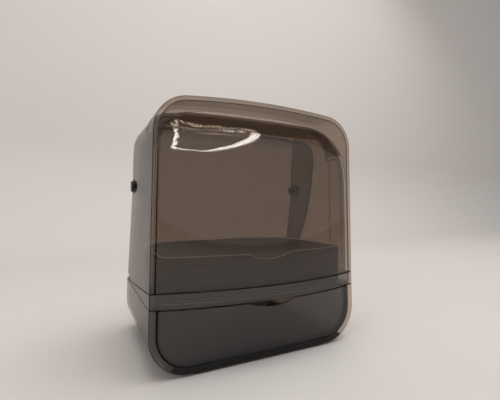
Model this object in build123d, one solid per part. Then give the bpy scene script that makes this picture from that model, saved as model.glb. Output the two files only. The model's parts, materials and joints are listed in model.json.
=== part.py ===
from build123d import *
import math
import os

# Brush holder with a drawer: a smoked plastic cosmetics case with a flip-up cover,
# a lift-out brush tray and a drawer. Millimetres, +Z up, front towards -Y.
# The origin is the bottom centre of the whole object. A depth is measured
# backwards from the rim plane, the flat front of the case behind the bowed faces.

# ---- overall sizes
overall_height = 306.5
overall_depth = 218.0
width_base = 276.0
width_top = 262.0
front_bow = 20.0            # how far the bowed front stands out of the rim plane
wall = 3.0

# ---- levels
foot_gap = 0.6              # foot plate to the table
foot_plate_thick = 2.0
drawer_sill_z = 10.5
seam_z = 76.0               # lower case ends, deck begins
deck_plate = 2.5
cover_edge_z = 93.0         # lower edge of the cover at the front
tray_top_z = 129.0
dome_top_z = 293.0
shell_top_z = 285.0
pivot_z = 210.0
pivot_depth = 129.0

# ---- clearances
seam_gap = 0.3
drawer_gap = 0.8
runner_gap = 0.3
side_gap = 3.5              # cover wall to rear shell wall
tray_gap = 0.3
running_fit = 0.08
seat_fit = 0.02

# ---- rounding
top_radius = 40.0
top_crown_radius = 1000.0
base_corner_radius = 45.0
rear_corner_radius = 34.0
rear_foot_radius = 22.0
roof_radius = 27.0
dome_radius = 46.0
roof_crown_radius = 4300.0
shell_radius = 22.0
shell_pillow = 18.0
shell_heel_radius = 200.0
shell_crest_radius = 52.0

# ---- cover
rim_width = 5.0             # end face of the rim, and the arch's thickness
arch_depth = 38.0
bulkhead = 3.0
dome_skirt = 12.0           # how deep the domed front's edge turns back inside the rim
dome_fillet = 6.0
full_bow_z = 130.0          # the front is fully bowed up to this level
top_bow = 7.0               # and this much at the dome's top
face_turn_z = 208.0         # the dome's face leans back above this level
face_turn_radius = 125.0
bow_margin = 7.0            # flat rim outside the bow at table level, each side
cover_roof_depth = 95.0
cover_edge_lean = 5.67      # degrees that the lower edge falls towards the rear
cover_edge_end = 17.5       # degrees past the pivot's plumb line where that edge ends
band_end = 4.4              # and where the deck's band under it ends
hand_gap_half = 98.0
hand_gap_tip_z = 291.0
hand_gap_shoulder = 69.0    # the gap is nearly full height out to here
hand_gap_shoulder_drop = 2.0
hand_gap_lip = 1.5
dome_skirt_top_z = 250.0
rim_overlap = 0.5           # the rim's thickness runs this far into the domed front

# ---- rear shell, outline seen from the side
waist_depth = 161.0
waist_z = 200.0
crest_depth = 155.0

# ---- lower case and drawer
rim_side = 8.0
drawer_wall = 2.2
drawer_box_step = 0.5       # the box is this much narrower than its front, each side
drawer_front_wall = 3.0
drawer_front_lap = 6.0
drawer_rear_depth = 179.0
drawer_travel = 145.0
drawer_bow_middle = 13.0
drawer_bow_middle_z = 44.0
drawer_bow_low = 1.5
notch_width = 60.0
notch_drop = 6.0
runner_width = 10.0
runner_x = 62.0
runner_front_depth = 12.0
runner_rear_depth = 168.0
stop_lug_drop = 6.0
stop_lug_size = 4.0
stop_lug_x = 90.0

# ---- brush tray
tray_wall = 2.2
tray_side_inset = 15.5      # tray's side to the case's side at table level
tray_front_gap = 5.5
tray_rear_depth = 169.0
tray_rear_radius = 60.0
tray_front_radius = 12.0
tray_notch_width = 56.0
tray_notch_drop = 6.5

# ---- feet and plate
foot_diameter = 18.0
foot_thick = 1.4
foot_inset = 16.0
foot_plate_half = 93.0
foot_plate_front = 1.0
foot_plate_rear = 182.0
foot_plate_radius = 12.0
foot_plate_chamfer = 0.5
foot_rounding = 0.4

# ---- pivots
pin_diameter = 6.0
pin_head_diameter = 11.0
pin_head = 2.5
pin_head_rounding = 0.8
boss_diameter = 19.0
boss_proud = 0.7
washer_diameter = 14.0
washer_gap = 0.3
cap_diameter = 15.0
cap_thick = 2.6
cap_socket = 1.4
cap_rounding = 1.2

# ---- case screws
screw_x = 112.0
screw_depth = 185.0
screw_diameter = 3.5
screw_head_diameter = 7.0
screw_head = 2.0
screw_bite = 12.0
screw_hole_spare = 1.0      # the blind hole is this much deeper than the screw
screw_cross_length = 4.0
screw_cross_width = 1.0
screw_cross_deep = 0.6
ledge_x = 95.0
ledge_depth = 172.0
post_diameter = 9.0

# ---- derived places
rim_y = -overall_depth / 2 + front_bow
rear_depth = overall_depth - front_bow
base_bottom_z = foot_gap + foot_plate_thick
deck_top_z = seam_z + deck_plate
taper = (width_base - width_top) / 2 / overall_height
bow_width = width_base - 2 * bow_margin
bow_radius = ((bow_width / 2) ** 2 + front_bow ** 2) / (2 * front_bow)
beyond = 60.0               # how far a cutting block runs past the object
face_steps = 9              # sections the domed front is lofted through, less one
face_low_z = tray_top_z / 2  # where those sections start, below the cover's edge
drawer_side_inset = rim_side + drawer_gap
drawer_box_inset = drawer_side_inset + drawer_box_step
drawer_bottom_z = drawer_sill_z + drawer_gap
drawer_top_z = seam_z - drawer_gap
shell_inset = wall + side_gap
tray_bottom_z = deck_top_z + tray_gap
tray_front_depth = -front_bow + wall + tray_front_gap
tray_half_width = width_base / 2 - tray_side_inset

# ---- side-view curves, as (depth, height)
shell_front_edge = [(141.0, deck_top_z), (114.0, 125.0), (92.0, 166.0), (77.0, 215.0),
                    (71.0, 250.0), (77.0, shell_top_z + 2)]
cover_rear_edge = [(142.0, 200.0), (141.0, 238.0)]
cover_shoulder = (130.0, 275.0)
roof_end = (cover_roof_depth, 296.0)


def half_width(z):
    """Half of the outer width at a height: the sides lean in towards the top."""
    return width_base / 2 - taper * z


def outline(inset, low, high, crown_radius, high_radius, low_radius):
    """The case seen from the front, drawn in by inset: leaning sides, crowned top."""
    crown = crown_radius - inset
    top = high - inset
    reach = half_width(top) - inset
    shoulder = top - crown + (crown ** 2 - reach ** 2) ** 0.5
    floor = low + inset
    top_half = half_width(shoulder) - inset
    floor_half = half_width(floor) - inset
    shoulder = top - crown + (crown ** 2 - top_half ** 2) ** 0.5
    left_top = (-top_half, shoulder)
    right_top = (top_half, shoulder)
    edges = Polyline(left_top, (-floor_half, floor), (floor_half, floor), right_top)
    edges += ThreePointArc(right_top, (0, top), left_top)
    face = make_face(edges)
    face = fillet(face.vertices().group_by(Axis.Y)[-1], high_radius - inset)
    if low_radius > inset:
        face = fillet(face.vertices().group_by(Axis.Y)[0], low_radius - inset)
    return face


def from_front(face, depth_0, depth_1):
    """Stand a front-view face up and carry it from one depth to another."""
    plane = Plane(origin=(0, rim_y + depth_0, 0), x_dir=(1, 0, 0), z_dir=(0, -1, 0))
    return extrude(plane * face, amount=depth_1 - depth_0, dir=(0, 1, 0))


def from_side(face, half=width_base):
    """Carry a side-view face, drawn in depth and height, across the whole width."""
    return extrude(Plane.YZ * Pos(rim_y, 0) * face, amount=half, both=True)


def block(x_0, x_1, depth_0, depth_1, z_0, z_1):
    centre = Pos((x_0 + x_1) / 2, rim_y + (depth_0 + depth_1) / 2, (z_0 + z_1) / 2)
    return centre * Box(abs(x_1 - x_0), depth_1 - depth_0, z_1 - z_0)


def rod(x, depth, z_0, z_1, diameter):
    return Pos(x, rim_y + depth, (z_0 + z_1) / 2) * Cylinder(diameter / 2, z_1 - z_0)


def cross_rod(x_0, x_1, diameter):
    """A round bar along X on the pivot line."""
    place = Pos((x_0 + x_1) / 2, rim_y + pivot_depth, pivot_z) * Rotation(0, 90, 0)
    return place * Cylinder(diameter / 2, abs(x_1 - x_0))


def bow_at(z):
    """How far the dome's middle stands ahead of its sides at a height."""
    share = max(0, z - full_bow_z) / (dome_top_z - full_bow_z)
    return front_bow - (front_bow - top_bow) * share


def side_depth_at(z, inset):
    """Depth of the dome's face at its sides: flush with the rim, then an arc back."""
    rise = max(0, z - face_turn_z)
    radius = face_turn_radius - inset
    return inset + radius - (radius ** 2 - rise ** 2) ** 0.5


def bowed(inset):
    """Everything behind the dome's face drawn in by inset, lofted through plan arcs."""
    half = bow_width / 2
    sections = []
    for step in range(face_steps + 1):
        z = face_low_z + (dome_top_z + dome_fillet - face_low_z) * step / face_steps
        side = side_depth_at(z, inset)
        edges = Polyline((half, side), (half, arch_depth + beyond), (-half, arch_depth + beyond),
                         (-half, side))
        edges += ThreePointArc((-half, side), (0, side - bow_at(z)), (half, side))
        sections.append(Pos(0, rim_y, z) * make_face(edges))
    return loft(sections)


def lens(width, drop, edge_z, depth_0, depth_1):
    """A shallow round scoop down from an edge."""
    radius = ((width / 2) ** 2 + drop ** 2) / (2 * drop)
    place = Pos(0, rim_y + (depth_0 + depth_1) / 2, edge_z - drop + radius) * Rotation(90, 0, 0)
    return place * Cylinder(radius, depth_1 - depth_0)


def plan(inset, rear, radius):
    """The case seen from above: bowed front, straight sides, rounded rear corners."""
    half = bow_width / 2
    side = width_base / 2 - inset
    edges = Polyline((-half, inset), (-side, inset), (-side, rear - inset), (side, rear - inset),
                     (side, inset), (half, inset))
    edges += ThreePointArc((half, inset), (0, -front_bow + inset), (-half, inset))
    face = make_face(edges)
    return fillet(face.vertices().group_by(Axis.Y)[-1], radius - inset)


def from_above(face, z_0, z_1):
    return extrude(Pos(0, rim_y, z_0) * face, amount=z_1 - z_0)


def case_outline(inset):
    return outline(inset, base_bottom_z, overall_height, top_crown_radius, top_radius, base_corner_radius)


def lower_block(inset, low_z, depth_0, depth_1):
    """The lower case's outer form drawn in by inset, from one depth to another."""
    face = outline(inset, low_z - inset, overall_height, top_crown_radius, top_radius, base_corner_radius)
    form = from_front(face, depth_0, depth_1)
    return form & block(-width_base, width_base, depth_0, depth_1, 0, seam_z)


def rear_rounding(inset):
    """Rounds the lower case's rear corners and its rear lower edge."""
    upright = from_above(plan(inset, rear_depth, rear_corner_radius), 0, seam_z)
    low = base_bottom_z + inset
    heel = make_face(Polyline((-beyond, low), (rear_depth - inset, low),
                              (rear_depth - inset, seam_z), (-beyond, seam_z), close=True))
    corner = heel.vertices().group_by(Axis.Y)[0].sort_by(Axis.X)[-1]
    return upright & from_side(fillet(corner, rear_foot_radius - inset))


def drawer_profile(inset, high_z):
    """The drawer seen from the front, drawn in from the case's outer form."""
    low_z = drawer_bottom_z + inset - drawer_side_inset
    half_low = half_width(low_z) - inset
    half_high = half_width(high_z) - inset
    face = make_face(Polyline((-half_high, high_z), (-half_low, low_z), (half_low, low_z),
                              (half_high, high_z), close=True))
    return fillet(face.vertices().group_by(Axis.Y)[0], base_corner_radius - inset)


def pivot_x(inset, further_in=0):
    """Distance from the middle to a wall's face on the pivot line."""
    return half_width(pivot_z) - inset - further_in


# ---- lower case: floor, walls and the front frame that the drawer closes into
def make_base_shell():
    outer = lower_block(0, base_bottom_z, 0, rear_depth) & rear_rounding(0)
    inner = lower_block(wall, base_bottom_z + wall, rim_side, rear_depth) & rear_rounding(wall)
    opening = lower_block(rim_side, drawer_sill_z, -1, rim_side + 1)
    shell = outer - inner - opening
    for side in (-1, 1):
        post = rod(side * screw_x, screw_depth, base_bottom_z + wall, seam_z, post_diameter)
        shell += post
        head_top = base_bottom_z + screw_head
        shell -= rod(side * screw_x, screw_depth, base_bottom_z, head_top,
                     screw_head_diameter + 2 * running_fit)
        shell -= rod(side * screw_x, screw_depth, head_top, seam_z, screw_diameter + 2 * running_fit)
    return shell


def foot_place(side, end):
    depth = foot_plate_front + foot_inset if end < 0 else foot_plate_rear - foot_inset
    return side * (foot_plate_half - foot_inset), depth


def make_foot_plate():
    middle = (foot_plate_front + foot_plate_rear) / 2
    face = RectangleRounded(2 * foot_plate_half, foot_plate_rear - foot_plate_front,
                            foot_plate_radius)
    plate = from_above(Pos(0, middle) * face, foot_gap, base_bottom_z)
    plate = chamfer(plate.edges().group_by(Axis.Z)[0], foot_plate_chamfer)
    for side in (-1, 1):
        for end in (-1, 1):
            plate -= rod(*foot_place(side, end), 0, foot_thick, foot_diameter + 2 * seat_fit)
        plate -= rod(side * screw_x, screw_depth, 0, base_bottom_z, screw_head_diameter + 2)
    return plate


def make_foot(side, end):
    foot = rod(*foot_place(side, end), 0, foot_thick, foot_diameter)
    return fillet(foot.edges().group_by(Axis.Z)[0], foot_rounding)


# ---- drawer runners on the lower case's floor
def make_runner(side):
    low = base_bottom_z + wall
    high = drawer_bottom_z - runner_gap
    x = side * runner_x
    return block(x - runner_width / 2, x + runner_width / 2, runner_front_depth,
                 runner_rear_depth, low, high)


# ---- the cover's lower edge seen from the side, and the deck's band under it
def edge_point(degrees, gap):
    """A point on the arc about the pivot that the edge turns into, moved out by a gap."""
    lean = math.radians(cover_edge_lean)
    reach = pivot_depth * math.sin(lean) + (pivot_z - cover_edge_z) * math.cos(lean) + gap
    angle = math.radians(degrees)
    return pivot_depth + reach * math.sin(angle), pivot_z - reach * math.cos(angle)


def edge_line(end_degrees, gap):
    """Level across the bow, then falling, then an arc about the pivot up to its end."""
    start_z = cover_edge_z - gap / math.cos(math.radians(cover_edge_lean))
    turn = edge_point(-cover_edge_lean, gap)
    middle = edge_point((end_degrees - cover_edge_lean) / 2, gap)
    line = Polyline((-beyond, start_z), (0, start_z), turn)
    return line + ThreePointArc(turn, middle, edge_point(end_degrees, gap))


# ---- deck: the shelf over the drawer, with the band that the cover closes on
def make_deck():
    plate = from_above(plan(0, rear_depth, rear_corner_radius), seam_z, deck_top_z)
    band = from_above(plan(0, rear_depth, rear_corner_radius), seam_z, cover_edge_z)
    band -= from_above(plan(wall, rear_depth, rear_corner_radius), seam_z - 1, cover_edge_z + 1)
    top_line = edge_line(band_end, seam_gap)
    end = edge_point(band_end, seam_gap)
    band &= from_side(make_face(top_line + Polyline(end, (end[0], seam_z), (-beyond, seam_z),
                                                    top_line @ 0)))
    deck = (plate + band) & from_front(case_outline(0), -beyond, rear_depth)
    lug_depth = drawer_rear_depth - drawer_wall - drawer_travel - seam_gap - stop_lug_size
    for side in (-1, 1):
        x = side * stop_lug_x
        deck += block(x - stop_lug_size, x + stop_lug_size, lug_depth, lug_depth + stop_lug_size,
                      seam_z - stop_lug_drop, seam_z)
        deck -= rod(side * screw_x, screw_depth, seam_z, deck_top_z,
                    screw_diameter + 2 * running_fit)
    return deck


# ---- rear shell: back, roof and sides behind the cover
def shell_block(inset):
    """The rear shell's outer form, drawn in by inset, before its front is cut away."""
    side = shell_inset + inset
    face = outline(side, deck_top_z - beyond, shell_top_z + shell_inset, roof_crown_radius,
                   shell_radius + shell_inset, 0)
    form = from_front(face, 0, rear_depth)
    heel = (rear_depth - inset, deck_top_z)
    waist = (waist_depth - inset, waist_z)
    crest = (crest_depth - inset, shell_top_z + 1)
    profile = make_face(Polyline((-1, deck_top_z), heel, waist, crest, (-1, shell_top_z + 1),
                                 close=True))
    profile = fillet(profile.vertices().sort_by_distance(waist)[0], shell_heel_radius)
    profile = fillet(profile.vertices().sort_by_distance(crest)[0], shell_crest_radius - inset)
    form &= from_side(profile)
    rear_edges = [edge for edge in form.edges()
                  if edge.center().Y > rim_y + crest_depth / 2 and abs(edge.center().X) > 1
                  and edge.center().Z > deck_top_z + 1 and edge.length > pin_diameter]
    return fillet(rear_edges, shell_pillow - inset)


def make_rear_shell():
    outer = shell_block(0)
    shell = outer - shell_block(wall)
    edge = Spline(*shell_front_edge)
    low, high = shell_front_edge[0], shell_front_edge[-1]
    ahead = make_face(edge + Polyline(high, (-2, high[1]), (-2, low[1]), low))
    shell -= from_side(ahead)
    for side in (-1, 1):
        ledge = block(side * ledge_x, side * half_width(0), ledge_depth, rear_depth, deck_top_z,
                      deck_top_z + wall)
        post_top = deck_top_z + screw_bite + wall
        shell += ledge & outer
        shell += rod(side * screw_x, screw_depth, deck_top_z, post_top, post_diameter)
        shell -= rod(side * screw_x, screw_depth, deck_top_z, deck_top_z + screw_bite,
                     screw_diameter + 2 * seat_fit)
        shell += cross_rod(side * pivot_x(shell_inset, -boss_proud),
                           side * pivot_x(shell_inset + wall, boss_proud), boss_diameter)
        shell -= cross_rod(side * pivot_x(2 * shell_inset + wall), side * pivot_x(0),
                           pin_diameter + 2 * seat_fit)
    return shell


# ---- cover: one moulding of rim, arch, bulkhead, domed front, roof and side panels
def roof_outline(inset):
    return outline(inset, deck_top_z - beyond, dome_top_z, roof_crown_radius, roof_radius, 0)


def dome_outline(inset):
    return outline(rim_width + inset, deck_top_z - beyond, dome_top_z + rim_width,
                   roof_crown_radius + rim_width, dome_radius + rim_width, 0)


def dome_block(inset):
    """The dome's solid form drawn in by inset, its face rounded into sides and roof."""
    form = from_front(dome_outline(inset), -front_bow - 1, arch_depth) & bowed(inset)
    round_edges = [edge for edge in form.edges()
                   if rim_y - front_bow < edge.center().Y < rim_y + arch_depth - 1
                   and edge.center().Z > face_low_z and edge.length > dome_skirt]
    return fillet(round_edges, dome_fillet - inset)


def make_dome():
    dome = dome_block(0) - dome_block(wall)
    skirt_cut = bowed(dome_skirt) & block(-width_base, width_base, -front_bow, arch_depth + 1, 0,
                                          dome_skirt_top_z)
    return dome - skirt_cut


def hand_gap():
    """The lens-shaped gap between the arch and the roof, for lifting the cover."""
    top = overall_height - rim_width - hand_gap_lip
    shoulder_z = top - hand_gap_shoulder_drop
    left, right = (-hand_gap_half, hand_gap_tip_z), (hand_gap_half, hand_gap_tip_z)
    edges = Spline(left, (-hand_gap_shoulder, shoulder_z), (0, top),
                   (hand_gap_shoulder, shoulder_z), right)
    edges += ThreePointArc(right, (0, dome_top_z - rim_overlap), left)
    return from_front(make_face(edges), arch_depth - 1, arch_depth + bulkhead + 1)


def cover_side_view():
    """Where the cover lies, seen from the side: it clears the deck as it swings."""
    edges = edge_line(cover_edge_end, 0)
    edges += Polyline(edge_point(cover_edge_end, 0), *cover_rear_edge)
    edges += ThreePointArc(cover_rear_edge[-1], cover_shoulder, roof_end)
    edges += Polyline(roof_end, (cover_roof_depth, overall_height + 1),
                      (-beyond, overall_height + 1), (-beyond, cover_edge_z))
    return make_face(edges)


def make_cover():
    ring = from_front(case_outline(0) - case_outline(rim_width + rim_overlap), 0, arch_depth)
    bulk = from_front(case_outline(0) - dome_outline(wall), arch_depth, arch_depth + bulkhead)
    bulk &= block(-width_base, width_base, 0, rear_depth, dome_skirt_top_z, overall_height + 1)
    walls = from_front(roof_outline(0) - roof_outline(wall), arch_depth, rear_depth)
    cover = ring + (bulk - hand_gap()) + walls + make_dome()
    cover &= from_side(cover_side_view())
    for side in (-1, 1):
        cover += cross_rod(side * pivot_x(0, -boss_proud), side * pivot_x(wall, boss_proud),
                           boss_diameter)
        cover -= cross_rod(side * pivot_x(2 * wall), side * pivot_x(-wall),
                           pin_diameter + 2 * running_fit)
    return cover


# ---- pivots: a headed pin from inside the rear shell, a washer and a cap outside
def make_pin(side):
    head_face = pivot_x(shell_inset + wall, boss_proud)
    tip = pivot_x(0, -boss_proud - washer_gap - cap_socket)
    shaft = cross_rod(side * head_face, side * tip, pin_diameter)
    head = cross_rod(side * (head_face - pin_head), side * head_face, pin_head_diameter)
    head = fillet(head.edges().sort_by(Axis.X)[0 if side > 0 else -1], pin_head_rounding)
    return shaft + head


def make_washer(side):
    seat = pivot_x(shell_inset, -boss_proud)
    face = pivot_x(wall, boss_proud) - washer_gap
    ring = cross_rod(side * seat, side * face, washer_diameter)
    return ring - cross_rod(side * (seat - 1), side * (face + 1), pin_diameter + 2 * seat_fit)


def make_cap(side):
    inner = pivot_x(0, -boss_proud - washer_gap)
    cap = cross_rod(side * inner, side * (inner + cap_thick), cap_diameter)
    cap = fillet(cap.edges().sort_by(Axis.X)[-1 if side > 0 else 0], cap_rounding)
    return cap - cross_rod(side * (inner - 1), side * (inner + cap_socket),
                           pin_diameter + 2 * seat_fit)


# ---- drawer: a trough with rounded lower corners behind a bulging front
def bulge(inset):
    """The bulging front: bow arcs that deepen from the sill to the top edge."""
    half = bow_width / 2
    levels = [(drawer_bottom_z - 1, drawer_bow_low), (drawer_bow_middle_z, drawer_bow_middle),
              (seam_z, front_bow)]
    sections = []
    for z, bow in levels:
        edges = Polyline((half, inset), (half, drawer_front_lap), (-half, drawer_front_lap),
                         (-half, inset))
        edges += ThreePointArc((-half, inset), (0, inset - bow), (half, inset))
        sections.append(Pos(0, rim_y, z) * make_face(edges))
    return loft(sections)


def make_drawer_front():
    profile = drawer_profile(drawer_side_inset, drawer_top_z)
    hollow = drawer_profile(drawer_side_inset + drawer_wall, seam_z + 1)
    front = bulge(0) & from_front(profile, -beyond, drawer_front_lap)
    front -= bulge(drawer_front_wall) & from_front(hollow, -beyond, drawer_front_lap)
    return front - lens(notch_width, notch_drop, drawer_top_z, -beyond, 0)


def make_drawer_box():
    outer = drawer_profile(drawer_box_inset, drawer_top_z)
    inner = drawer_profile(drawer_box_inset + drawer_wall, seam_z + 1)
    box = from_front(outer, drawer_front_lap, drawer_rear_depth)
    return box - from_front(inner, drawer_front_lap - 1, drawer_rear_depth - drawer_wall)


# ---- brush tray: an open bin that follows the bowed front
def tray_plan(inset):
    half = tray_half_width - inset
    front = tray_front_depth + inset
    arc_radius = bow_radius - wall - tray_front_gap - inset
    side_depth = front + arc_radius - (arc_radius ** 2 - half ** 2) ** 0.5
    rear = tray_rear_depth - inset
    edges = Polyline((half, side_depth), (half, rear), (-half, rear), (-half, side_depth))
    edges += ThreePointArc((-half, side_depth), (0, front), (half, side_depth))
    face = make_face(edges)
    face = fillet(face.vertices().group_by(Axis.Y)[-1], tray_rear_radius - inset)
    return fillet(face.vertices().group_by(Axis.Y)[0], tray_front_radius - inset)


def make_brush_tray():
    tray = from_above(tray_plan(0), tray_bottom_z, tray_top_z)
    tray -= from_above(tray_plan(tray_wall), tray_bottom_z + tray_wall, tray_top_z + 1)
    return tray - lens(tray_notch_width, tray_notch_drop, tray_top_z, -beyond, 0)


# ---- long screws up through the lower case's posts into the rear shell
def make_case_screws():
    screws = []
    for side in (-1, 1):
        head_low = base_bottom_z
        head_high = base_bottom_z + screw_head - running_fit
        shank_top = deck_top_z + screw_bite - screw_hole_spare
        screw = rod(side * screw_x, screw_depth, head_low, head_high, screw_head_diameter)
        screw += rod(side * screw_x, screw_depth, head_high, shank_top, screw_diameter)
        slot = Box(screw_cross_length, screw_cross_width, 2 * screw_cross_deep)
        cross = slot + Rotation(0, 0, 90) * slot
        screws.append(screw - Pos(side * screw_x, rim_y + screw_depth, head_low) * cross)
    return Compound(children=screws)


parts = {
    "base_shell": make_base_shell(),
    "foot_plate": make_foot_plate(),
    "deck": make_deck(),
    "rear_shell": make_rear_shell(),
    "cover": make_cover(),
    "drawer_front": make_drawer_front(),
    "drawer_box": make_drawer_box(),
    "brush_tray": make_brush_tray(),
    "case_screws": make_case_screws(),
}
for side, hand in ((-1, "left"), (1, "right")):
    parts[f"foot_front_{hand}"] = make_foot(side, -1)
    parts[f"foot_rear_{hand}"] = make_foot(side, 1)
    parts[f"drawer_runner_{hand}"] = make_runner(side)
    parts[f"pivot_pin_{hand}"] = make_pin(side)
    parts[f"pivot_washer_{hand}"] = make_washer(side)
    parts[f"pivot_cap_{hand}"] = make_cap(side)

os.makedirs("parts", exist_ok=True)
for name, part in parts.items():
    export_step(part, f"parts/{name}.step")
    print(name, len(part.solids()), round(part.volume), part.is_valid)
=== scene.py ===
import bmesh
import bpy
import json
import math
import numpy as np
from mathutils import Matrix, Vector
from mathutils.bvhtree import BVHTree


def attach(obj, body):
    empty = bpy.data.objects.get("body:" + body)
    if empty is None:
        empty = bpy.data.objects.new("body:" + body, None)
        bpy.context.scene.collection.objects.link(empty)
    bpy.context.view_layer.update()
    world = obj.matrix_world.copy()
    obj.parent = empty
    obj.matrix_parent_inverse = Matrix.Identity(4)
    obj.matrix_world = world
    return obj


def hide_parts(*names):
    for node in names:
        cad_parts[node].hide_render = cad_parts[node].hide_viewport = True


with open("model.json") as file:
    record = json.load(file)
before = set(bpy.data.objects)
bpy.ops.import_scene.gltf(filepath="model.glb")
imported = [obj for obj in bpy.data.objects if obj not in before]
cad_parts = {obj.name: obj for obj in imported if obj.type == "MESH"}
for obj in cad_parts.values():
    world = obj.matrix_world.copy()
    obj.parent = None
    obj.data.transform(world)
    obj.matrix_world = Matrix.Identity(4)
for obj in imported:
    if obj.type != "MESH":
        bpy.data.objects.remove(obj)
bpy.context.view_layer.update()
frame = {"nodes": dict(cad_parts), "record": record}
scene = bpy.context.scene
scene.view_settings.view_transform = "Standard"
scene.cycles.transparent_max_bounces = 40  # a look through the closed case passes over twenty faces


# A socket that can be added, multiplied and so on; each sign adds a Math node.
class Wire:
    def __init__(self, tree, socket):
        self.tree, self.socket = tree, socket

    def sum(self, operation, first, second):
        node = self.tree.nodes.new("ShaderNodeMath")
        node.operation = operation
        for place, value in zip(node.inputs, (first, second)):
            if isinstance(value, Wire):
                self.tree.links.new(value.socket, place)
            else:
                place.default_value = value
        return Wire(self.tree, node.outputs[0])

    def __add__(self, other): return self.sum("ADD", self, other)
    def __radd__(self, other): return self.sum("ADD", other, self)
    def __mul__(self, other): return self.sum("MULTIPLY", self, other)
    def __rmul__(self, other): return self.sum("MULTIPLY", other, self)
    def __pow__(self, other): return self.sum("POWER", self, other)
    def over(self, other): return self.sum("GREATER_THAN", self, other)


# A material being written: node() adds a node of any type, with its settings and its sockets' values.
class Finish:
    def __init__(self, name):
        self.material = bpy.data.materials.new(name)
        self.material.use_nodes = True
        self.tree = self.material.node_tree
        self.tree.nodes.clear()

    def node(self, kind, settings=None, values=None, out=0):
        node = self.tree.nodes.new("ShaderNode" + kind)
        for key, value in (settings or {}).items():
            setattr(node, key, value)
        for key, value in (values or {}).items():
            socket = node.inputs[key]
            if isinstance(value, Wire):
                self.tree.links.new(value.socket, socket)
            else:
                socket.default_value = value
        return Wire(self.tree, node.outputs[out])

    def blend(self, share, first, second):
        return self.node("MixShader", {}, {"Fac": share, 1: first, 2: second})

    def noise(self, place, scale, detail=3.0, rough=0.55):
        return self.node("TexNoise", {}, {"Vector": place, "Scale": scale, "Detail": detail, "Roughness": rough})

    def done(self, surface):
        out = self.tree.nodes.new("ShaderNodeOutputMaterial")
        self.tree.links.new(surface.socket, out.inputs["Surface"])
        return self.material


# Clear smoked moulding: tinted see-through that darkens where it is seen along its wall, a trace of
# haze, and gloss by Fresnel with rubs and a faint moulded ripple.
# Gloss is its least plus the rest times the facing value to the fifth power.
def smokePlastic(name, **changes):
    look = dict(smoke, **changes)
    f = Finish(name)
    place = f.node("TexCoord", out=3)
    ripple = f.noise(place, *look["rippleNoise"]) * look["ripple"]
    normal = f.node("Bump", {}, {"Strength": 1.0, "Distance": 1.0, "Height": ripple})
    facing = f.node("LayerWeight", {}, {"Blend": 0.5, "Normal": normal}, out=1)
    gloss = look["mirrorLeast"] + (1.0 - look["mirrorLeast"]) * look["mirrorMost"] * facing ** look["mirrorTurn"]
    streaks = f.node("Mapping", {}, {"Vector": place, "Scale": look["rubStretch"], "Rotation": look["rubLean"]})
    rubs = f.noise(streaks, *look["rubNoise"]).over(look["rubFrom"]) * f.noise(place, *look["rubPatches"])
    smear = f.noise(place, *look["smearNoise"])
    rough = look["rough"] + rubs * look["rubRough"] + smear * look["smearRough"]
    see = f.node("BsdfTransparent", {}, {"Color": look["seeFront"]})
    seeEdge = f.node("BsdfTransparent", {}, {"Color": look["seeEdge"]})
    seen = f.blend(facing ** look["edgeTurn"], see, seeEdge)
    if "darkTop" in look:  # painted shade: the wall is darkened below this height, standing in for the shadow and inner reflections around the dark plate under the floor
        height = f.node("SeparateXYZ", {}, {"Vector": place}, out=2)
        low = f.node("MapRange", {"clamp": True},
                     {"Value": height, "From Min": look["darkTop"] + look["darkFade"],
                      "From Max": look["darkTop"], "To Max": look["darkShare"]})
        seen = f.blend(low, seen, seeEdge)
    body = f.node("BsdfPrincipled", {}, {"Base Color": look["body"], "Roughness": rough, "Normal": normal,
                                         "IOR": look["ior"], "Specular IOR Level": 0.0})
    hazy = f.blend(look["haze"] + smear * look["smearHaze"] + rubs * look["rubHaze"], seen, body)
    mirror = f.node("BsdfGlossy", {}, {"Color": (1, 1, 1, 1), "Roughness": rough, "Normal": normal})
    return f.done(f.blend(gloss, hazy, mirror))


# Opaque moulding, rubber or steel: one colour with a slow drift, fine grain and rounded-looking edges.
def solidPlastic(name, **changes):
    look = dict(solid, **changes)
    f = Finish(name)
    place = f.node("TexCoord", out=3)
    edges = f.node("Bevel", {"samples": look["edgeSamples"]}, {"Radius": look["edgeRound"]})
    grain = f.noise(place, look["grainScale"])
    normal = f.node("Bump", {}, {"Strength": 1.0, "Distance": look["grainDepth"], "Height": grain,
                                 "Normal": edges})
    dust = f.noise(place, *look["dustNoise"])
    colour = f.node("Mix", {"data_type": "RGBA"}, {0: dust, 6: look["dark"], 7: look["light"]}, out=2)
    return f.done(f.node("BsdfPrincipled", {}, {"Base Color": colour, "Normal": normal,
                                                "Roughness": look["rough"] + dust * look["dustRough"],
                                                "Metallic": look["metal"]}))


# The clear finishes. A noise is its scale, detail and roughness.
smoke = {"seeFront": (0.655, 0.595, 0.545, 1), "seeEdge": (0.16, 0.13, 0.105, 1), "edgeTurn": 5.0,
         "haze": 0.015, "body": (0.10, 0.085, 0.07, 1), "rough": 0.012, "ior": 1.49,
         "mirrorLeast": 0.045, "mirrorMost": 0.55, "mirrorTurn": 5.0,
         "ripple": 0.00003, "rippleNoise": (22.0, 1.0),
         "rubNoise": (60.0, 6.0, 0.7), "rubPatches": (7.0, 2.0), "rubFrom": 0.68,
         "rubStretch": (1.0, 1.0, 9.0), "rubLean": (0.3, 0.9, 0.5), "rubRough": 0.10, "rubHaze": 0.03,
         "smearNoise": (9.0, 4.0), "smearRough": 0.03, "smearHaze": 0.02}
coverPlastic = smokePlastic("smokeCover")
shellPlastic = smokePlastic("smokeShell", seeFront=(0.615, 0.565, 0.525, 1))
deckPlastic = smokePlastic("smokeDeck", seeFront=(0.70, 0.67, 0.655, 1), haze=0.04, body=(0.14, 0.13, 0.13, 1))
# painted shade: a dark band along the foot of the base wall
basePlastic = smokePlastic("smokeBase", seeFront=(0.70, 0.645, 0.60, 1), darkTop=0.0102, darkFade=0.001,
                           darkShare=0.9)
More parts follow.
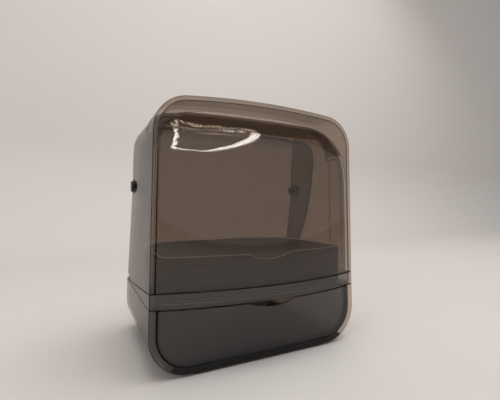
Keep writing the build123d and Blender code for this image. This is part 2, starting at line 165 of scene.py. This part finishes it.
drawerPlastic = smokePlastic("smokeDrawer", seeFront=(0.605, 0.59, 0.585, 1), haze=0.04,
                             body=(0.12, 0.12, 0.13, 1))
trayPlastic = smokePlastic("smokeTray", seeFront=(0.50, 0.47, 0.46, 1), haze=0.01)
# painted shade: a dark see-through finish for rounded edges and for faces at the gaps between parts
paintedShadePlastic = smokePlastic("smokePaintedShade", seeFront=(0.12, 0.10, 0.09, 1), seeEdge=(0.03, 0.025, 0.02, 1), haze=0.02,
                          body=(0.02, 0.018, 0.016, 1), mirrorLeast=0.03, mirrorMost=0.3)
# painted highlight: a lighter see-through finish that makes the rim's front end faces bright
rimHighlightPlastic = smokePlastic("smokeRimHighlight", seeFront=(0.84, 0.76, 0.69, 1), haze=0.05, body=(0.3, 0.25, 0.21, 1))
# painted highlight: a pale hazy finish that makes the tray's top edge bright
lipHighlightPlastic = smokePlastic("smokeLipHighlight", seeFront=(0.6, 0.56, 0.52, 1), haze=0.75, body=(0.85, 0.78, 0.70, 1),
                          rough=0.08)

# the opaque finishes
solid = {"metal": 0.0, "edgeSamples": 4, "dustNoise": (40.0, 5.0, 0.65), "dustRough": 0.18}
plateBlack = solidPlastic("plateBlack", dark=(0.012, 0.011, 0.010, 1), light=(0.03, 0.028, 0.026, 1),
                          rough=0.42, grainScale=1400.0, grainDepth=0.00006, edgeRound=0.0004)
rubber = solidPlastic("footRubber", dark=(0.010, 0.010, 0.010, 1), light=(0.035, 0.034, 0.033, 1),
                      rough=0.7, grainScale=2200.0, grainDepth=0.00005, edgeRound=0.0003)
pivotBlack = solidPlastic("pivotBlack", dark=(0.010, 0.009, 0.008, 1), light=(0.022, 0.020, 0.018, 1),
                          rough=0.22, grainScale=1800.0, grainDepth=0.00002, edgeRound=0.0004)
nylon = solidPlastic("washerNylon", dark=(0.42, 0.40, 0.36, 1), light=(0.55, 0.53, 0.49, 1),
                     rough=0.45, grainScale=1500.0, grainDepth=0.00003, edgeRound=0.0002)
screwSteel = solidPlastic("screwSteel", dark=(0.42, 0.42, 0.43, 1), light=(0.58, 0.58, 0.60, 1), metal=1.0,
                          rough=0.24, grainScale=900.0, grainDepth=0.00003, edgeRound=0.0002)
print("materials written")


# Where the walls end, in metres: heights above the table, and depths behind the rim's front end.
wallEnds = {
    "rimY": -0.089, "flush": 0.0003,          # the plane of the rim's front end, and how near it a face lies
    "front": 0.98, "level": 0.9, "sloped": 0.6, "sideways": 0.1,  # how squarely a face looks that way
    "coverEdge": (0.093, 0.0993, 0.116),      # height at the rim, fall for each metre back, where the fall ends
    "coverSpare": 0.0012, "coverBack": 0.16,
    "deckTop": 0.0795, "drawerTop": 0.0745, "trayTop": 0.121,
    "caseSide": (0.138, 0.02284, 0.0075),     # half width at the table, lean for each metre up, the wall
    "caseFrame": (0.0005, 0.0078), "caseFloor": 0.01, "caseSill": 0.012, "caseSeam": 0.0755,
    "drawerEdge": (0.0002, 0.0058), "drawerFrontTop": 0.075,
}
# The kinds of painted face after 0, the plain wall: painted shade, a painted highlight on the tray's top, a
# painted highlight on the rim's front end.
dark, paintedHighlight, rimEndHighlight = 1, 2, 3


# Which faces are the narrow end of a wall, and which finish they have; the others stay 0.
# That finish is painted light, standing in for how light bends through clear plastic: painted shade on wall ends
# and on faces at the gaps, and a painted highlight on the rim's front end and on the tray's top.
def edgeFaces(node, centre, normal):
    ends = wallEnds
    kind = np.zeros(len(centre), dtype=np.int32)
    x, y, z = centre.T
    depth = y - ends["rimY"]
    up = normal[:, 2]
    sideways = np.abs(normal[:, 1]) < ends["sideways"]
    front = (normal[:, 1] < -ends["front"]) & (np.abs(depth) < ends["flush"])
    if node == "cover":
        start, fall, stop = ends["coverEdge"]
        lowEdge = start - fall * np.clip(depth, 0, stop) + ends["coverSpare"]
        kind[(up < -ends["level"]) & (z < lowEdge) & (depth < ends["coverBack"])] = dark
        kind[front] = rimEndHighlight
    if node == "deck":
        kind[(up > ends["level"]) & (z > ends["deckTop"])] = dark
        kind[front] = rimEndHighlight
    if node == "base_shell":
        halfWide, lean, wall = ends["caseSide"]
        near, far = ends["caseFrame"]
        inside = halfWide - lean * z - np.abs(x) > wall
        kind[(depth > near) & (depth < far) & inside & (z > ends["caseFloor"]) & sideways] = dark
        kind[front] = rimEndHighlight
        kind[front & (z < ends["caseSill"])] = dark
        kind[(up > ends["level"]) & (z > ends["caseSeam"])] = dark
    if node == "drawer_front":
        near, far = ends["drawerEdge"]
        kind[(up > ends["level"]) & (z > ends["drawerTop"])] = dark
        kind[(depth > near) & (depth < far) & sideways & (z < ends["drawerFrontTop"])] = dark
    if node == "brush_tray":
        kind[(up > ends["sloped"]) & (z > ends["trayTop"])] = paintedHighlight
    return kind


# True for the thin arch around the hand gap, whose own edges stay crisp and clear.
handGapArch = {"lowest": 0.283, "nearest": -0.087, "halfWide": 0.125}


def aroundHandGap(point):
    return (point.z > handGapArch["lowest"] and point.y > handGapArch["nearest"]
            and abs(point.x) < handGapArch["halfWide"])


# The rounding of the moulded edges: its width on each face and the turn, in degrees, from which an edge
# has it. A rounded point that lies farther than this from the wall goes back to it.
edgeRounding = {"wide": 0.0007, "steps": 2, "profile": 0.5, "fromTurn": 35.0, "farthest": 0.0005,
                "flatTurn": 0.3, "clearTurn": 50.0, "solidTurn": 35.0, "weight": 60,
                "merge": 2e-6, "sliver": 1e-6}


# Rounds a clear piece's edges. Flat stretches become one face first, and the rounded strips get painted light: a
# fine dark line of painted shade, or a light line of painted highlight on the tray.
def roundEdges(work, node, wall):
    centre = np.array([face.calc_center_median() for face in work.faces])
    normal = np.array([face.normal for face in work.faces])
    for face, kind in zip(work.faces, edgeFaces(node, centre, normal)):
        face.material_index = kind
    bmesh.ops.dissolve_limit(work, angle_limit=math.radians(edgeRounding["flatTurn"]), verts=work.verts,
                             edges=work.edges, delimit={"MATERIAL"})
    least = math.radians(edgeRounding["fromTurn"])
    sharp = [edge for edge in work.edges if len(edge.link_faces) == 2 and edge.calc_face_angle() > least
             and not (node == "cover" and aroundHandGap(edge.verts[0].co))]
    bmesh.ops.bevel(work, geom=sharp, offset=edgeRounding["wide"], offset_type="OFFSET",
                    profile_type="SUPERELLIPSE", segments=edgeRounding["steps"],
                    profile=edgeRounding["profile"], affect="EDGES", clamp_overlap=False,
                    material=paintedHighlight if node == "brush_tray" else dark, loop_slide=True)
    for point in work.verts:
        near = wall.find_nearest(point.co)
        if near[3] > edgeRounding["farthest"]:
            point.co = near[0]


# A merged copy of a node in its place, with rounded edges where the plastic is clear. The mesh keeps
# only the finishes that some face of it has.
def roundedCopy(node, material, slotName):
    mesh = frame["nodes"][node].data.copy()
    if "custom_normal" in mesh.attributes:
        mesh.attributes.remove(mesh.attributes["custom_normal"])
    clear = slotName.startswith("smoke")
    work = bmesh.new()
    work.from_mesh(mesh)
    wall = BVHTree.FromBMesh(work)
    bmesh.ops.remove_doubles(work, verts=work.verts, dist=edgeRounding["merge"])
    bmesh.ops.dissolve_degenerate(work, edges=work.edges, dist=edgeRounding["sliver"])
    if clear:
        roundEdges(work, node, wall)
    kinds = np.array([face.material_index for face in work.faces]) if clear else np.zeros(len(work.faces), int)
    work.to_mesh(mesh)
    work.free()
    used, number = np.unique(kinds, return_inverse=True)
    mesh.materials.clear()
    for kind in used:
        mesh.materials.append((material, paintedShadePlastic, lipHighlightPlastic, rimHighlightPlastic)[kind])
    mesh.polygons.foreach_set("material_index", number.astype(np.int32).ravel())
    mesh.shade_smooth()
    mesh.set_sharp_from_angle(angle=math.radians(edgeRounding["clearTurn" if clear else "solidTurn"]))
    piece = bpy.data.objects.new(node + ".rounded", mesh)
    scene.collection.objects.link(piece)
    weigh = piece.modifiers.new("weigh", "WEIGHTED_NORMAL")
    weigh.keep_sharp = True
    weigh.weight = edgeRounding["weight"]
    bodies = frame["record"]["behaviour"]["bodies"]
    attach(piece, next(name for name, nodes in bodies.items() if node in nodes))
    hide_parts(node)


nodeFinish = {
    "cover": (coverPlastic, "smoke_cover"),
    "rear_shell": (shellPlastic, "smoke_case"),
    "deck": (deckPlastic, "smoke_case"),
    "base_shell": (basePlastic, "smoke_case"),
    "drawer_runner_left": (deckPlastic, "smoke_case"),
    "drawer_runner_right": (deckPlastic, "smoke_case"),
    "drawer_front": (drawerPlastic, "smoke_drawer"),
    "drawer_box": (drawerPlastic, "smoke_drawer"),
    "brush_tray": (trayPlastic, "smoke_tray"),
    "foot_plate": (plateBlack, "dark_plate"),
    "case_screws": (screwSteel, "screw_steel"),
}
for hand in ("left", "right"):
    nodeFinish["foot_front_" + hand] = (rubber, "foot_rubber")
    nodeFinish["foot_rear_" + hand] = (rubber, "foot_rubber")
    nodeFinish["pivot_pin_" + hand] = (pivotBlack, "pivot_dark")
    nodeFinish["pivot_cap_" + hand] = (pivotBlack, "pivot_dark")
    nodeFinish["pivot_washer_" + hand] = (nylon, "washer_nylon")
for node, (material, slotName) in nodeFinish.items():
    roundedCopy(node, material, slotName)
print("pieces made:", len(nodeFinish))


# Puts a stage mesh of points and four-cornered faces in the scene.
def stageMesh(name, points, faces, material):
    mesh = bpy.data.meshes.new(name)
    mesh.from_pydata(points.tolist(), [], faces.tolist())
    mesh.materials.append(material)
    thing = bpy.data.objects.new(name, mesh)
    scene.collection.objects.link(thing)
    return thing


# Floor and wall are one sheet: a side-view line with a quarter circle in its corner, carried along X.
room = {"paper": (0.66, 0.63, 0.61, 1), "rough": 0.55, "sheen": 0.25, "grainScale": 300.0, "grain": 0.4,
        "grainDepth": 0.0004, "wallY": 1.3, "curve": 0.5, "curveSteps": 24, "nearY": -14.0, "high": 6.0,
        "wide": 40.0}
f = Finish("roomPaper")
place = f.node("TexCoord", out=3)
paperGrain = f.node("Bump", {}, {"Strength": room["grain"], "Distance": room["grainDepth"],
                                 "Height": f.noise(place, room["grainScale"])})
paper = f.done(f.node("BsdfPrincipled", {}, {"Base Color": room["paper"], "Roughness": room["rough"],
                                             "Normal": paperGrain, "Specular IOR Level": room["sheen"]}))
bend = np.linspace(0, math.pi / 2, room["curveSteps"])
bendY = room["wallY"] - room["curve"] + room["curve"] * np.sin(bend)
bendZ = room["curve"] - room["curve"] * np.cos(bend)
line = np.array([(room["nearY"], 0.0), *zip(bendY, bendZ), (room["wallY"], room["high"])])
sheet = np.zeros((2, len(line), 3))
sheet[:, :, 0] = np.array([-room["wide"] / 2, room["wide"] / 2])[:, None]
sheet[:, :, 1:] = line
low = np.arange(len(line) - 1)
sheetFaces = np.stack([low, low + len(line), low + len(line) + 1, low + 1], axis=1)
stageMesh("floorAndWall", sheet.reshape(-1, 3), sheetFaces, paper).data.shade_smooth()

# Soft lamps, none of which shows in the gloss.
lamps = {
    "ceilingLamp": {"place": (0.2, -0.4, 2.2), "aim": (0.1, 0.1, 0.1), "size": (1.8, 1.8), "watts": 30,
                    "colour": (1.0, 0.985, 0.96)},
    "sideLamp": {"place": (-1.9, -0.9, 1.0), "aim": (0, 0, 0.15), "size": (1.2, 1.4), "watts": 6,
                 "colour": (1.0, 0.98, 0.95)},
    "backLamp": {"place": (1.6, 0.3, 1.8), "aim": (0.7, 0.8, 0.2), "size": (1.4, 1.4), "watts": 5,
                 "colour": (1.0, 0.99, 0.97)},
}
for name, setting in lamps.items():
    lamp = bpy.data.lights.new(name, "AREA")
    lamp.shape = "RECTANGLE"
    lamp.size, lamp.size_y = setting["size"]
    lamp.energy, lamp.color = setting["watts"], setting["colour"]
    holder = bpy.data.objects.new(name, lamp)
    holder.location = setting["place"]
    holder.rotation_mode = "QUATERNION"
    holder.rotation_quaternion = (Vector(setting["aim"]) - Vector(setting["place"])).to_track_quat("-Z", "Y")
    scene.collection.objects.link(holder)
    holder.visible_glossy = False

# The lamp frame that the dome mirrors: rows of small bright squares along the sides of a four-cornered
# frame, each square's middle an equal share of the way on from one corner to the next.
lampFrame = {"high": 2.2, "corners": [(0.11, -0.81), (1.01, -0.60), (0.44, -1.78), (-0.12, -1.92)],
             "dots": (22, 30, 22, 30), "halfWide": (0.022, 0.05, 0.03, 0.03), "halfLong": 0.28,
             "colour": (1.0, 0.97, 0.9, 1), "strength": 22.0}
frameCorner = np.array(lampFrame["corners"])
squares = []
for side, (count, halfWide) in enumerate(zip(lampFrame["dots"], lampFrame["halfWide"])):
    begin, end = frameCorner[side], frameCorner[(side + 1) % 4]
    share = (np.arange(count) + 0.5) / count
    middle = begin + (end - begin) * share[:, None]
    length = np.linalg.norm(end - begin)
    along = (end - begin) / length
    across = np.array([-along[1], along[0]]) * halfWide
    half = along * length / count * lampFrame["halfLong"]
    squares.append(np.stack([middle - half - across, middle + half - across, middle + half + across,
                             middle - half + across], axis=1))
squares = np.concatenate(squares)
points = np.concatenate([squares, np.full(squares.shape[:2] + (1,), lampFrame["high"])], axis=2).reshape(-1, 3)
f = Finish("lampGlow")
glow = f.done(f.node("Emission", {}, {"Color": lampFrame["colour"], "Strength": lampFrame["strength"]}))
glow.cycles.emission_sampling = "NONE"
dots = stageMesh("lampFrame", points, np.arange(len(points)).reshape(-1, 4), glow)
dots.visible_camera = dots.visible_diffuse = dots.visible_shadow = False

air = {"colour": (0.66, 0.64, 0.63, 1), "strength": 0.8}
world = bpy.data.worlds.new("studioAir")
world.use_nodes = True
world.node_tree.nodes["Background"].inputs["Color"].default_value = air["colour"]
world.node_tree.nodes["Background"].inputs["Strength"].default_value = air["strength"]
scene.world = world

# the camera stands where the photograph was taken from
view = {"place": (-0.198, -0.4386, 0.1834), "ahead": (0.4515, 0.8923, 0.0), "sensor": 36.0, "lens": 24.12,
        "shiftY": 0.012, "clip": (0.01, 50)}
lens = bpy.data.cameras.new("photoCamera")
lens.sensor_width, lens.lens, lens.shift_y = view["sensor"], view["lens"], view["shiftY"]
lens.clip_start, lens.clip_end = view["clip"]
camera = bpy.data.objects.new("photoCamera", lens)
camera.location = view["place"]
camera.rotation_mode = "QUATERNION"
camera.rotation_quaternion = Vector(view["ahead"]).to_track_quat("-Z", "Y")
scene.collection.objects.link(camera)
scene.camera = camera
print("stage, lights and camera set")
